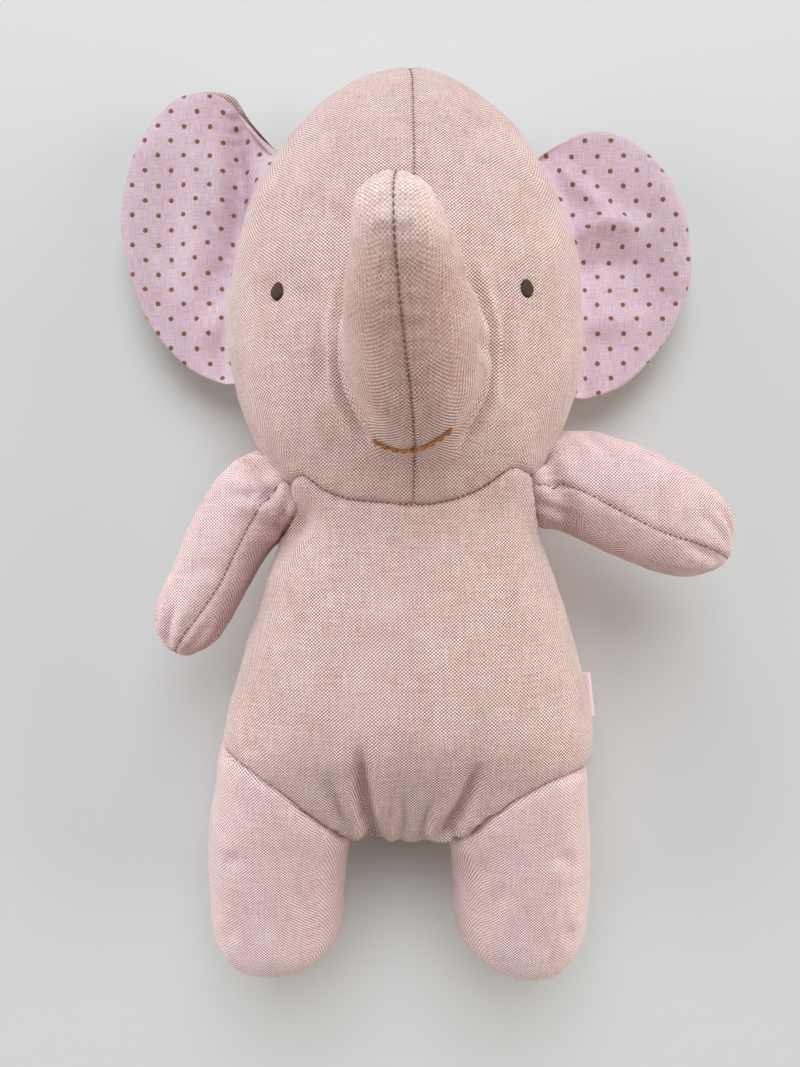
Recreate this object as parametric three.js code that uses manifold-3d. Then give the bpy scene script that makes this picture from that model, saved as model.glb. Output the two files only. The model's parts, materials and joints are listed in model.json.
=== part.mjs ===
// A stuffed linen elephant, lying on its back.
// Millimetres. +Z is up, out of its face, +Y runs towards its crown and +X towards its own left side.
import * as THREE from 'three';
import { mergeVertices } from 'three/addons/utils/BufferGeometryUtils.js';
import Module from 'manifold-3d';

const wasm = await Module();
wasm.setup();

// ---- Driving dimensions ----
const CLOTH = 0.9; // one layer of linen with its seam allowance
const GAP = 0.3; // clearance between pieces that touch
const JOINT_GAP = 1.5; // clearance between pieces that move against each other
const SWEEP_STEP = 15; // most degrees between the poses that a joint's clearance is cut from
const TIDY = 0.08; // edges and bumps under this size are merged after a cut
const WELD = 1e-3; // points nearer than this are one point
const HALVINGS = 30; // steps of the search for a point of a skin
const EAR_LAYER = 0.9;
const RIBBON = 0.4; // thickness of the side tag's ribbon
const THREAD_RISE = 0.5; // how far embroidery stands off the cloth
const THREAD_CLEAR = 3 * GAP; // from the cloth's drawn surface to the middle of a thread's underside

const LINEN = { color: 0xcaada8, roughness: 0.95, metalness: 0 };
const EAR_COTTON = { color: 0xe2c6cf, roughness: 0.9, metalness: 0 };
const FILLING = { color: 0xf4f2ee, roughness: 1, metalness: 0 };
const BROWN_THREAD = { color: 0x452a23, roughness: 0.6, metalness: 0 };
const RUST_THREAD = { color: 0xa5622c, roughness: 0.6, metalness: 0 };
const TAG_RIBBON = { color: 0xeac9c6, roughness: 0.7, metalness: 0 };

// Each station is [x, y, z, half width, half depth] of an oval section. The caps are the share of the
// length over which each end rounds off, for the width and for the depth. Slices and sides count the
// facets along and around the form.
const TORSO = {
  stations: [
    [0, 30, 40, 33, 33], [0, 8, 40, 42.5, 40], [0, -14, 41.5, 51, 44], [0, -36, 43, 57.5, 47.5],
    [0, -58, 43.5, 63, 48.5], [0, -80, 44.5, 67, 48], [0, -104, 48, 68, 43],
  ],
  caps: { width: [0.03, 0.3], depth: [0.03, 0.3] }, hold: 'x', slices: 14, sides: 20, onFloor: true,
};
const HEAD = {
  stations: [
    [0, 163, 47, 57, 44], [0, 136, 47.5, 59.5, 48.5], [0, 109, 48, 62, 52], [0, 82, 48.5, 63, 53],
    [0, 55, 48, 64, 52.5], [0, 28, 47.5, 65, 49.5], [0, 1, 45, 66, 46],
  ],
  caps: { width: [0.52, 0.46], depth: [0.46, 0.3] }, hold: 'x', slices: 14, sides: 20, onFloor: true,
};
const TRUNK = {
  stations: [
    [2, 47, 82, 20, 19], [2.5, 50.5, 100, 19.5, 19.5], [1.5, 56, 117, 16.5, 17.5],
    [-0.5, 64, 134, 12.5, 14], [-2.5, 72, 149, 9, 10], [-3.8, 77.5, 160, 7, 8],
  ],
  caps: { width: [0.2, 0.12], depth: [0.2, 0.12] }, hold: 'x', slices: 11, sides: 12,
};
// The arms share one shape. It is drawn for the left arm, from its pivot in the shoulder seam.
const ARM = {
  stations: [
    [-9, -1, -2, 9, 12], [6, 2, -1, 13, 14.5], [21, 3.5, 1, 16.5, 16.5], [36, 0.5, 3, 18, 17.5],
    [50, -5, 4, 17.5, 16.5], [64, -13, 5, 15, 14.5], [76, -22, 5, 12, 12.5],
  ],
  caps: { width: [0.12, 0.15], depth: [0.12, 0.15] }, hold: 'z', slices: 10, sides: 12,
};
const LEG = {
  stations: [
    [0, 22, 3, 22, 25], [0.5, -2, 0, 25, 27], [1.5, -27, -4, 26.5, 28.5], [2.5, -53, -9, 26.5, 29],
    [3, -80.5, -13, 25.5, 28.5],
  ],
  caps: { width: [0.26, 0.24], depth: [0.26, 0.24] }, hold: 'x', slices: 10, sides: 14,
};
const CLEARANCE = { slices: 10, sides: 16 }; // facets of the space that a moving form needs

const NECK = { pivot: [0, 28, 45], from: -10, to: 12 };
const TRUNK_BASE = { pivot: [2, 49, 92], from: -15, to: 15 };
const SHOULDER = { x: 37.5, y: 12, z: 50, swing: 38 };
const ARM_DROP = { left: 0, right: 38 }; // degrees that each arm hangs below the raised pose
const SWING_SHARES = [0, 0.25, 0.5, 0.75, 1]; // where an arm's swing is cut clear of the head
const HIP = { y: -91, z: 44, from: -5, to: 40 };
const LEG_X = { left: 43, right: -46.5 };

// Each ear is part of an ellipse, sewn along the side of the head between two heights.
const EARS = {
  left: { side: 1, centre: [74, 103], radii: [40.5, 53], reach: [-125, 118], root: [54, 140] },
  right: { side: -1, centre: [74, 113.5], radii: [40.5, 59.5], reach: [-122, 120], root: [58, 146] },
};
const EAR_ROOT_Z = 33;
const EAR_RIM_Z = 14;
const EAR_FALL = 0.5; // share of the ear's width over which it comes down from the head
const EAR_OFF_HEAD = 2; // from the side of the head to the sewn edge of the ear
const EAR_GRID = { rows: 5, columns: 16 };

const EYES = { left: [37.6, 73.1], right: [-39.6, 72.8] };
const EYE_SIZE = { width: 4.2, height: 5.8, sides: 14 };
const SMILE = {
  from: [-10.2, 23], control: [1.5, 14.5], to: [14.1, 24.5], width: 1.6, steps: 8,
};
const TACK = { x: 0.5, y: -3, length: 6, width: 1.4, steps: 3 };
const THREAD_SIDES = 4; // facets of each half of a thread's section
const TAG = { y: -62, z: 45, long: 16, wide: 5.6, turn: 1, fold: 0.45, offSeam: 4 * GAP };

// ---- Vectors and solids ----
const X = new THREE.Vector3(1, 0, 0);
const Z = new THREE.Vector3(0, 0, 1);
const radians = THREE.MathUtils.degToRad;

// A closed solid from a list of triangles, each three points, with collapsed triangles left out.
function closedGeometry(triangles) {
  const positions = triangles.flat().flatMap((point) => [point.x, point.y, point.z]);
  const loose = new THREE.BufferGeometry();
  loose.setAttribute('position', new THREE.Float32BufferAttribute(positions, 3));
  const merged = mergeVertices(loose, WELD);
  const kept = [];
  for (let i = 0; i < merged.index.count; i += 3) {
    const [a, b, c] = [0, 1, 2].map((k) => merged.index.getX(i + k));
    if (a !== b && b !== c && c !== a) kept.push(a, b, c);
  }
  merged.setIndex(kept);
  return merged;
}

function toManifold(geometry) {
  const bare = new THREE.BufferGeometry();
  bare.setAttribute('position', geometry.getAttribute('position'));
  bare.setIndex(geometry.index);
  const merged = mergeVertices(bare, WELD);
  return new wasm.Manifold(new wasm.Mesh({
    numProp: 3,
    vertProperties: new Float32Array(merged.getAttribute('position').array),
    triVerts: new Uint32Array(merged.index.array),
  }));
}

function fromManifold(solid) {
  const mesh = solid.getMesh();
  const geometry = new THREE.BufferGeometry();
  geometry.setAttribute('position', new THREE.Float32BufferAttribute(mesh.vertProperties, 3));
  geometry.setIndex(Array.from(mesh.triVerts));
  return geometry;
}

// Cuts the clearances out of a solid and keeps its main body, without the crumbs.
function cut(geometry, ...clearances) {
  const left = clearances.reduce((solid, clearance) => solid.subtract(clearance), toManifold(geometry));
  const [main] = left.decompose().sort((a, b) => b.volume() - a.volume());
  return fromManifold(main.simplify(TIDY));
}

// Joins a grid's points into quads. Point (i, j) is at(i, j), and flip turns the faces over.
function gridTriangles(rows, columns, at, flip = false) {
  const triangles = [];
  for (let i = 0; i < rows; i++) {
    for (let j = 0; j < columns; j++) {
      const [a, b, c, d] = [at(i, j), at(i + 1, j), at(i + 1, j + 1), at(i, j + 1)];
      triangles.push(flip ? [a, b, c] : [c, b, a], flip ? [a, c, d] : [d, c, a]);
    }
  }
  return triangles;
}

// A slab between two grids of points. The outer grid's faces point away from the inner grid.
function slab(rows, columns, outer, inner) {
  const edge = (walk, steps, flip) => gridTriangles(steps, 1, (i, j) => walk(i, j ? inner : outer), flip);
  return closedGeometry([
    ...gridTriangles(rows, columns, outer),
    ...gridTriangles(rows, columns, inner, true),
    ...edge((i, layer) => layer(i, 0), rows, true),
    ...edge((i, layer) => layer(i, columns), rows, false),
    ...edge((i, layer) => layer(0, i), columns, false),
    ...edge((i, layer) => layer(rows, i), columns, true),
  ]);
}

// ---- Stuffed forms ----
function makeForm({ stations, onFloor = false, ...rest }, side = 1) {
  const centres = stations.map(([x, y, z]) => new THREE.Vector3(side * x, y, z));
  const halfSizes = stations.map(([, , , width, depth]) => new THREE.Vector3(width, depth, 0));
  const spine = new THREE.CatmullRomCurve3(centres);
  const size = new THREE.CatmullRomCurve3(halfSizes);
  return { ...rest, spine, size, onFloor, length: spine.getLength() };
}

function roundEnd(t, [first, last]) {
  const near = Math.min(1, t / first, (1 - t) / last);
  return Math.sqrt(1 - (1 - near) ** 2);
}

// The centre, axes and half sizes of a form's section at t, for a skin that lies inset below the cloth.
function section(form, t, inset = 0) {
  const end = inset / form.length;
  const along = end + (1 - 2 * end) * t;
  const onSpine = THREE.MathUtils.clamp(along, 0, 1);
  const tangent = form.spine.getTangent(onSpine);
  const centre = form.spine.getPoint(onSpine).addScaledVector(tangent, (along - onSpine) * form.length);
  const size = form.size.getPoint(t);
  const held = form.hold === 'x' ? X : Z;
  const across = form.hold === 'x' ? X.clone() : held.clone().cross(tangent).normalize();
  const up = form.hold === 'x' ? tangent.clone().cross(held).normalize() : Z.clone();
  const width = (size.x - inset) * roundEnd(t, form.caps.width);
  const depth = (size.y - inset) * roundEnd(t, form.caps.depth);
  return { centre, across, up, width, depth };
}

// A point on a form at a slice and an angle, moved by half the seam gap off the seams it lies beside.
function skinPoint(form, t, angle, inset, offSeam = [0, 0]) {
  const { centre, across, up, width, depth } = section(form, t, inset);
  const point = centre
    .addScaledVector(across, width * Math.cos(angle) + offSeam[0] * GAP / 2)
    .addScaledVector(up, depth * Math.sin(angle) + offSeam[1] * GAP / 2);
  if (form.onFloor) point.z = Math.max(point.z, inset);
  return point;
}

const sliceAt = (form, i) => (1 - Math.cos(Math.PI * i / form.slices)) / 2;

// A shell of cloth over part of a form, from one angle to another.
function panel(form, fromDegrees, toDegrees, offSeam) {
  const steps = form.sides * (toDegrees - fromDegrees) / 360;
  const angleAt = (j) => radians(THREE.MathUtils.lerp(fromDegrees, toDegrees, j / steps));
  const skin = (inset) => (i, j) => skinPoint(form, sliceAt(form, i), angleAt(j), inset, offSeam);
  return slab(form.slices, steps, skin(0), skin(CLOTH));
}

// The whole form as one solid: the stuffing inside the cloth, or with a negative inset its clearance.
function core(form, inset) {
  const { slices, sides } = form;
  const at = (i, j) => skinPoint(form, sliceAt(form, i), 2 * Math.PI * (j % sides) / sides, inset);
  return closedGeometry(gridTriangles(slices, sides, at));
}

// The space that a form needs while it turns about an axis through its pivot.
function sweep(form, pivot, axis, fromDegrees, toDegrees) {
  const still = core({ ...form, ...CLEARANCE, onFloor: false }, -JOINT_GAP);
  const count = Math.ceil((toDegrees - fromDegrees) / SWEEP_STEP);
  const step = (toDegrees - fromDegrees) / count;
  let space = null;
  for (let i = 0; i <= count; i++) {
    const turn = new THREE.Matrix4().makeRotationAxis(axis, radians(fromDegrees + i * step));
    const posed = still.clone().translate(-pivot.x, -pivot.y, -pivot.z).applyMatrix4(turn);
    const solid = toManifold(posed.translate(pivot.x, pivot.y, pivot.z));
    space = space ? space.add(solid) : solid;
  }
  return space;
}

function named(name, geometry, look) {
  const faceted = geometry.clone();
  faceted.computeVertexNormals();
  const mesh = new THREE.Mesh(faceted, new THREE.MeshStandardMaterial({ ...look }));
  mesh.name = name;
  return mesh;
}

// The point of a lying form's skin at a height up the body. angleAt picks the angle round each section.
function onSkin(form, y, angleAt) {
  const at = (t) => skinPoint(form, t, angleAt(section(form, t)), 0);
  let [low, high] = [0, 1];
  for (let i = 0; i < HALVINGS; i++) {
    const middle = (low + high) / 2;
    if (at(middle).y > y) low = middle; else high = middle;
  }
  return at(low);
}

const within = (ratio) => THREE.MathUtils.clamp(ratio, -1, 1);
const topOf = (form, x, y) => onSkin(form, y, ({ width }) => Math.acos(within(x / width))).z;
const sideOf = (form, y, z) => (
  onSkin(form, y, ({ centre, depth }) => Math.asin(within((z - centre.z) / depth))).x
);

const forms = {
  torso: makeForm(TORSO), head: makeForm(HEAD), trunk: makeForm(TRUNK),
  arm: { left: makeForm(ARM), right: makeForm(ARM, -1) },
  leg: { left: makeForm(LEG), right: makeForm(LEG, -1) },
};
const SIDE = { left: 1, right: -1 };
const shoulderAt = (side) => new THREE.Vector3(SIDE[side] * SHOULDER.x, SHOULDER.y, SHOULDER.z);
const hipAt = (side) => new THREE.Vector3(LEG_X[side], HIP.y, HIP.z);

const headSpace = sweep(forms.head, new THREE.Vector3(...NECK.pivot), X, NECK.from, NECK.to);
const trunkSpace = sweep(
  forms.trunk, new THREE.Vector3(...TRUNK_BASE.pivot), X, TRUNK_BASE.from, TRUNK_BASE.to,
);

// The space of a swinging arm, from hanging to raised, in the frame of the whole toy.
function armSpace(side) {
  const low = side === 'left' ? -SHOULDER.swing : 0;
  const space = sweep(forms.arm[side], new THREE.Vector3(), Z, low, low + SHOULDER.swing);
  return space.translate(...shoulderAt(side).toArray());
}

function legSpace(side) {
  const space = sweep(forms.leg[side], new THREE.Vector3(), X, -HIP.to, -HIP.from);
  return space.translate(...hipAt(side).toArray());
}

// ---- The pieces ----
function torso() {
  const group = new THREE.Group();
  const clear = [headSpace, armSpace('left'), armSpace('right'), legSpace('left'), legSpace('right')];
  const { torso: form } = forms;
  group.add(
    named('torso_front_panel', cut(panel(form, 0, 180, [0, 1]), ...clear), LINEN),
    named('torso_back_left_panel', cut(panel(form, 270, 360, [1, -1]), ...clear), LINEN),
    named('torso_back_right_panel', cut(panel(form, 180, 270, [-1, -1]), ...clear), LINEN),
    named('torso_stuffing', cut(core(form, CLOTH + GAP), ...clear), FILLING),
    sideTag(), neckTack(),
  );
  return group;
}

// A ribbon folded back on itself, its two ends held in the side seam.
function sideTag() {
  const { long, wide, turn, fold, offSeam } = TAG;
  const inside = [[0, fold], [wide - turn - RIBBON / 2, fold], [wide - RIBBON * Math.SQRT2, 0]];
  const outside = [[0, fold + RIBBON], [wide - turn, fold + RIBBON], [wide, 0]];
  const below = (points) => points.slice(0, -1).map(([x, y]) => [x, -y]);
  const around = [...outside, ...below(outside).reverse(), ...below(inside), ...inside.toReversed()];
  const outline = new THREE.Shape(around.map(([x, y]) => new THREE.Vector2(x, y)));
  const ribbon = new THREE.ExtrudeGeometry(outline, { depth: long, bevelEnabled: false });
  ribbon.translate(0, 0, -long / 2).rotateX(Math.PI / 2);
  const tag = named('side_tag', mergedOnly(ribbon), TAG_RIBBON);
  const ends = [TAG.y + long / 2, TAG.y - long / 2].map((y) => sideOf(forms.torso, y, TAG.z));
  tag.position.set((ends[0] + ends[1]) / 2 + offSeam, TAG.y, TAG.z);
  tag.rotation.z = Math.atan2(ends[1] - ends[0], long);
  return tag;
}

// The geometry with its points welded, which leaves it closed.
function mergedOnly(geometry) {
  geometry.deleteAttribute('normal');
  geometry.deleteAttribute('uv');
  return mergeVertices(geometry, WELD);
}

// A bar of thread laid on a form's upper face along a plan curve.
function threadBar(form, plan, { width, steps }) {
  const lift = width / 2 + THREAD_CLEAR;
  const points = plan.getPoints(steps).map(({ x, y }) => new THREE.Vector3(x, y, topOf(form, x, y) + lift));
  const flat = new THREE.Shape().absellipse(0, 0, THREAD_RISE, width / 2, 0, 2 * Math.PI);
  const bar = new THREE.ExtrudeGeometry(flat, {
    steps, curveSegments: THREAD_SIDES, bevelEnabled: false,
    extrudePath: new THREE.CatmullRomCurve3(points),
  });
  return mergedOnly(bar);
}

function neckTack() {
  const half = TACK.length / 2;
  const plan = new THREE.LineCurve(
    new THREE.Vector2(TACK.x - half, TACK.y), new THREE.Vector2(TACK.x + half, TACK.y),
  );
  return named('neck_tack_stitch', threadBar(forms.torso, plan, TACK), RUST_THREAD);
}

function head() {
  const group = new THREE.Group();
  const { head: form } = forms;
  group.add(
    named('head_left_panel', cut(panel(form, -90, 90, [1, 0]), trunkSpace), LINEN),
    named('head_right_panel', cut(panel(form, 90, 270, [-1, 0]), trunkSpace), LINEN),
    named('head_stuffing', cut(core(form, CLOTH + GAP), trunkSpace), FILLING),
    eye('left'), eye('right'), smile(),
  );
  return group;
}

// An oval of satin stitch, lying on the cloth of the face.
function eye(side) {
  const [x, y] = EYES[side];
  const { width, height, sides } = EYE_SIZE;
  const disc = new THREE.CylinderGeometry(0.5, 0.5, THREAD_RISE, sides).rotateX(Math.PI / 2);
  disc.scale(width, height, 1);
  const rise = (dx, dy) => topOf(forms.head, x + dx, y + dy) - topOf(forms.head, x - dx, y - dy);
  const normal = new THREE.Vector3(-rise(width / 2, 0) / width, -rise(0, height / 2) / height, 1);
  normal.normalize();
  const mesh = named(`eye_${side}`, mergedOnly(disc), BROWN_THREAD);
  mesh.quaternion.setFromUnitVectors(Z, normal);
  mesh.position.set(x, y, topOf(forms.head, x, y)).addScaledVector(normal, THREAD_RISE / 2 + GAP);
  return mesh;
}

function smile() {
  const { from, control, to } = SMILE;
  const plan = new THREE.QuadraticBezierCurve(...[from, control, to].map((p) => new THREE.Vector2(...p)));
  return named('mouth_stitch', threadBar(forms.head, plan, SMILE), RUST_THREAD);
}

function trunk() {
  const group = new THREE.Group();
  const { trunk: form } = forms;
  group.add(
    named('trunk_left_panel', panel(form, -90, 90, [1, 0]), LINEN),
    named('trunk_right_panel', panel(form, 90, 270, [-1, 0]), LINEN),
    named('trunk_stuffing', core(form, CLOTH + GAP), FILLING),
  );
  return group;
}

// One layer of an ear: a sheet from its seam in the side of the head out to its rim.
function earLayer({ side, centre, radii, reach, root }, lift) {
  const { rows, columns } = EAR_GRID;
  const at = (height) => (i, j) => {
    const v = j / columns;
    const angle = radians(THREE.MathUtils.lerp(reach[0], reach[1], v));
    const rootY = THREE.MathUtils.lerp(root[0], root[1], v);
    const rootX = sideOf(forms.head, rootY, EAR_ROOT_Z) + EAR_OFF_HEAD;
    const u = i / rows;
    const x = THREE.MathUtils.lerp(rootX, Math.max(rootX, centre[0] + radii[0] * Math.cos(angle)), u);
    const y = THREE.MathUtils.lerp(rootY, centre[1] + radii[1] * Math.sin(angle), u);
    const fallen = THREE.MathUtils.smoothstep((x - rootX) / radii[0], 0, EAR_FALL);
    return new THREE.Vector3(side * x, y, THREE.MathUtils.lerp(EAR_ROOT_Z, EAR_RIM_Z, fallen) + height);
  };
  const layers = [at(lift + EAR_LAYER), at(lift)];
  const sheet = side > 0 ? layers.reverse() : layers;
  return slab(rows, columns, ...sheet);
}

function ear(side) {
  const group = new THREE.Group();
  group.add(
    named(`ear_${side}_front`, earLayer(EARS[side], GAP), EAR_COTTON),
    named(`ear_${side}_back`, earLayer(EARS[side], -EAR_LAYER), LINEN),
  );
  return group;
}

function arm(side) {
  const group = new THREE.Group();
  const form = forms.arm[side];
  const [upper, lower] = side === 'left' ? [[-90, 90], [90, 270]] : [[90, 270], [-90, 90]];
  const offSeam = ([from]) => [from === -90 ? 1 : -1, 0];
  const shoulder = shoulderAt(side);
  const raised = headSpace.translate(-shoulder.x, -shoulder.y, -shoulder.z);
  const clear = SWING_SHARES.map((share) => raised.rotate(0, 0, SIDE[side] * share * SHOULDER.swing));
  group.position.copy(shoulder);
  group.rotation.z = -SIDE[side] * radians(ARM_DROP[side]);
  group.add(
    named(`arm_${side}_upper_panel`, cut(panel(form, ...upper, offSeam(upper)), ...clear), LINEN),
    named(`arm_${side}_lower_panel`, cut(panel(form, ...lower, offSeam(lower)), ...clear), LINEN),
    named(`arm_${side}_stuffing`, cut(core(form, CLOTH + GAP), ...clear), FILLING),
  );
  return group;
}

function leg(side) {
  const group = new THREE.Group();
  const form = forms.leg[side];
  group.position.copy(hipAt(side));
  group.add(
    named(`leg_${side}_front_panel`, panel(form, 0, 180, [0, 1]), LINEN),
    named(`leg_${side}_back_panel`, panel(form, 180, 360, [0, -1]), LINEN),
    named(`leg_${side}_stuffing`, core(form, CLOTH + GAP), FILLING),
  );
  return group;
}

const group = new THREE.Group();
group.add(
  torso(), head(), trunk(), ear('left'), ear('right'), arm('left'), arm('right'), leg('left'), leg('right'),
);

export default group;
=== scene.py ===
"""A stuffed linen elephant lying on its back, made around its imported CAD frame. Metres, +Z up."""
import json
import math

import bpy
import numpy as np
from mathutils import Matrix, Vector, noise
from mathutils.bvhtree import BVHTree


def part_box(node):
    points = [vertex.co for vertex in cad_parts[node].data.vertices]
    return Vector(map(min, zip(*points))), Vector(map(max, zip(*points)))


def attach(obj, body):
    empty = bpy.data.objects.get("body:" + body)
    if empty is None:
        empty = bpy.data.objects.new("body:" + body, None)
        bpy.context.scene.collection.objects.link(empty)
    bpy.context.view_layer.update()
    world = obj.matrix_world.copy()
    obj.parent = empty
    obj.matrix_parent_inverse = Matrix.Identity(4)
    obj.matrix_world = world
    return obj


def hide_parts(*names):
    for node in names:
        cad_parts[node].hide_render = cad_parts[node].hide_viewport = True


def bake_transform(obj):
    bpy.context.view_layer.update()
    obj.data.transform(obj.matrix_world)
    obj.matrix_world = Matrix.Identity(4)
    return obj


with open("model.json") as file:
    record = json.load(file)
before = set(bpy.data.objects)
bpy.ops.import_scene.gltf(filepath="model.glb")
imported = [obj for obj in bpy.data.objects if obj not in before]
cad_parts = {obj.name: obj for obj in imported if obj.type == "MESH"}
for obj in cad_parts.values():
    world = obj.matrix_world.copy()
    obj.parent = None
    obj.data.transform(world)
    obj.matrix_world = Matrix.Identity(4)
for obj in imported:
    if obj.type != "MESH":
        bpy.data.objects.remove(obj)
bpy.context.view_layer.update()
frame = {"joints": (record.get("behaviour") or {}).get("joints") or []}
PIVOT = {j["name"]: np.array(j["pos_m"]) for j in frame["joints"] if "pos_m" in j}

MM = 0.001
SKIN_VOXEL = 3.4 * MM
CLOTH_FRAMES = 20
SEAM_PITCH = 1.9 * MM  # one machine stitch
WALK_STEP = 0.8 * MM  # between the points of a seam or a fold
CAMERA_PLACE = (-1.5 * MM, -3 * MM, 0.337)
FLOOR_COLOUR = (0.66, 0.64, 0.62, 1)
UP = Vector((0, 0, 1))


def box_of(*nodes):
    """The centre and the half sizes of some CAD nodes together."""
    boxes = [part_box(n) for n in nodes]
    low = np.min([b[0] for b in boxes], axis=0)
    high = np.max([b[1] for b in boxes], axis=0)
    return (low + high) / 2, (high - low) / 2


# ---- Oval sections strung along a curved centre line ----
def through(rows, t):
    """Catmull-Rom interpolation of the rows at shares t of the way along."""
    rows = np.vstack([2 * rows[0] - rows[1], rows, 2 * rows[-1] - rows[-2]])
    last = len(rows) - 3
    place = np.clip(np.asarray(t, float), 0, 1) * last
    i = np.minimum(place.astype(int), last - 1)
    f = (place - i)[:, None]
    a, b, c, d = rows[i], rows[i + 1], rows[i + 2], rows[i + 3]
    return 0.5 * (2 * b + (c - a) * f + (2 * a - 5 * b + 4 * c - d) * f**2 + (3 * b - a - 3 * c + d) * f**3)


class Form:
    """Stations are (x, y, z, half width, half depth) in mm from the anchor. hold is the fixed axis."""

    def __init__(self, anchor, stations, width_caps, depth_caps, hold="x", box=1.0):
        self.rows = np.array(stations, float) * MM
        self.rows[:, :3] += anchor
        self.caps = (width_caps, depth_caps)
        self.hold = np.array([1.0, 0, 0]) if hold == "x" else np.array([0, 0, 1.0])
        self.hold_x = hold == "x"
        self.box = box  # 1 for oval sections, less for boxier ones

    def frames(self, t):
        """Centre, across, up, half width and half depth of the sections at t."""
        step = 1e-3
        mid = through(self.rows, t)
        ahead = through(self.rows, np.clip(t + step, 0, 1))[:, :3]
        behind = through(self.rows, np.clip(t - step, 0, 1))[:, :3]
        tangent = ahead - behind
        tangent /= np.linalg.norm(tangent, axis=1)[:, None]
        held = np.broadcast_to(self.hold, tangent.shape)
        if self.hold_x:
            across, up = held, np.cross(tangent, held)
            up = up / np.linalg.norm(up, axis=1)[:, None]
        else:
            across, up = np.cross(held, tangent), held
            across = across / np.linalg.norm(across, axis=1)[:, None]
        sizes = []
        for k, (first, last) in enumerate(self.caps):
            near = np.minimum(1, np.minimum(t / first, (1 - t) / last))
            sizes.append(mid[:, 3 + k] * np.sqrt(np.clip(1 - (1 - near) ** 2, 0, 1)))
        return mid[:, :3], across, up, sizes[0], sizes[1]

    def point(self, t, angle):
        centre, across, up, width, depth = self.frames(np.atleast_1d(np.asarray(t, float)))
        cos, sin = np.cos(angle), np.sin(angle)
        w = width * np.sign(cos) * np.abs(cos) ** self.box
        d = depth * np.sign(sin) * np.abs(sin) ** self.box
        return centre + across * w[:, None] + up * d[:, None]

    def mesh(self, slices=36, sides=44):
        """Vertices and faces of the closed form."""
        rows = [self.point([0.0], [0.0])]
        for i in range(1, slices):
            t = np.full(sides, (1 - math.cos(math.pi * i / slices)) / 2)
            rows.append(self.point(t, np.arange(sides) * 2 * math.pi / sides))
        rows.append(self.point([1.0], [0.0]))
        points = np.vstack(rows)
        faces = []
        for j in range(sides):
            k = (j + 1) % sides
            faces.append((0, 1 + k, 1 + j))
            base = 1 + (slices - 2) * sides
            faces.append((len(points) - 1, base + j, base + k))
            for i in range(slices - 2):
                a, b = 1 + i * sides, 1 + (i + 1) * sides
                faces.append((a + j, a + k, b + k, b + j))
        return points, faces


# ---- Mesh helpers ----
def new_object(name, points, faces):
    mesh = bpy.data.meshes.new(name)
    mesh.from_pydata([tuple(p) for p in np.asarray(points)], [], [tuple(f) for f in faces])
    mesh.validate()
    obj = bpy.data.objects.new(name, mesh)
    bpy.context.scene.collection.objects.link(obj)
    return obj


def coords(obj):
    flat = np.empty(len(obj.data.vertices) * 3)
    obj.data.vertices.foreach_get("co", flat)
    return flat.reshape(-1, 3)


def set_coords(obj, points):
    obj.data.vertices.foreach_set("co", np.ascontiguousarray(points, dtype=float).ravel())
    obj.data.update()


def normals(obj):
    flat = np.empty(len(obj.data.vertices) * 3)
    obj.data.vertex_normals.foreach_get("vector", flat)
    return flat.reshape(-1, 3)


def bake(obj):
    """Puts the modifiers' result into the mesh and removes them."""
    graph = bpy.context.evaluated_depsgraph_get()
    mesh = bpy.data.meshes.new_from_object(obj.evaluated_get(graph))
    old = obj.data
    obj.modifiers.clear()
    obj.data = mesh
    bpy.data.meshes.remove(old)
    return obj


def joined(name, parts):
    """One object of several (points, faces) parts."""
    points, faces, count = [], [], 0
    for part_points, part_faces in parts:
        points.append(np.asarray(part_points, float))
        faces += [tuple(i + count for i in f) for f in part_faces]
        count += len(part_points)
    return new_object(name, np.vstack(points), faces)


def remeshed(obj, voxel):
    modifier = obj.modifiers.new("Even", "REMESH")
    modifier.mode, modifier.voxel_size = "VOXEL", voxel
    return bake(obj)


def relaxed(obj, rounds, share=0.5, weights=None):
    """Laplacian smoothing in code, by each vertex's edge neighbours."""
    points = coords(obj)
    edges = np.empty(len(obj.data.edges) * 2, dtype=np.int64)
    obj.data.edges.foreach_get("vertices", edges)
    a, b = edges.reshape(-1, 2).T
    count = np.bincount(np.concatenate([a, b]), minlength=len(points)).astype(float)[:, None]
    for _ in range(rounds):
        total = np.zeros_like(points)
        np.add.at(total, a, points[b])
        np.add.at(total, b, points[a])
        pull = share if weights is None else share * weights[:, None]
        points = points + (total / count - points) * pull
    set_coords(obj, points)
    return obj


def subdivided(obj, levels):
    modifier = obj.modifiers.new("Fine", "SUBSURF")
    modifier.levels = modifier.render_levels = levels
    return bake(obj)


def bvh_of(obj):
    return BVHTree.FromPolygons(
        [Vector(p) for p in coords(obj)], [tuple(f.vertices) for f in obj.data.polygons]
    )


def signed_distance(tree, points):
    """How far each point is outside the closed mesh of the tree; negative inside."""
    values = np.empty(len(points))
    for i, p in enumerate(points):
        spot, normal, _, _ = tree.find_nearest(Vector(p))
        values[i] = (Vector(p) - spot).dot(normal)
    return values


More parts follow.
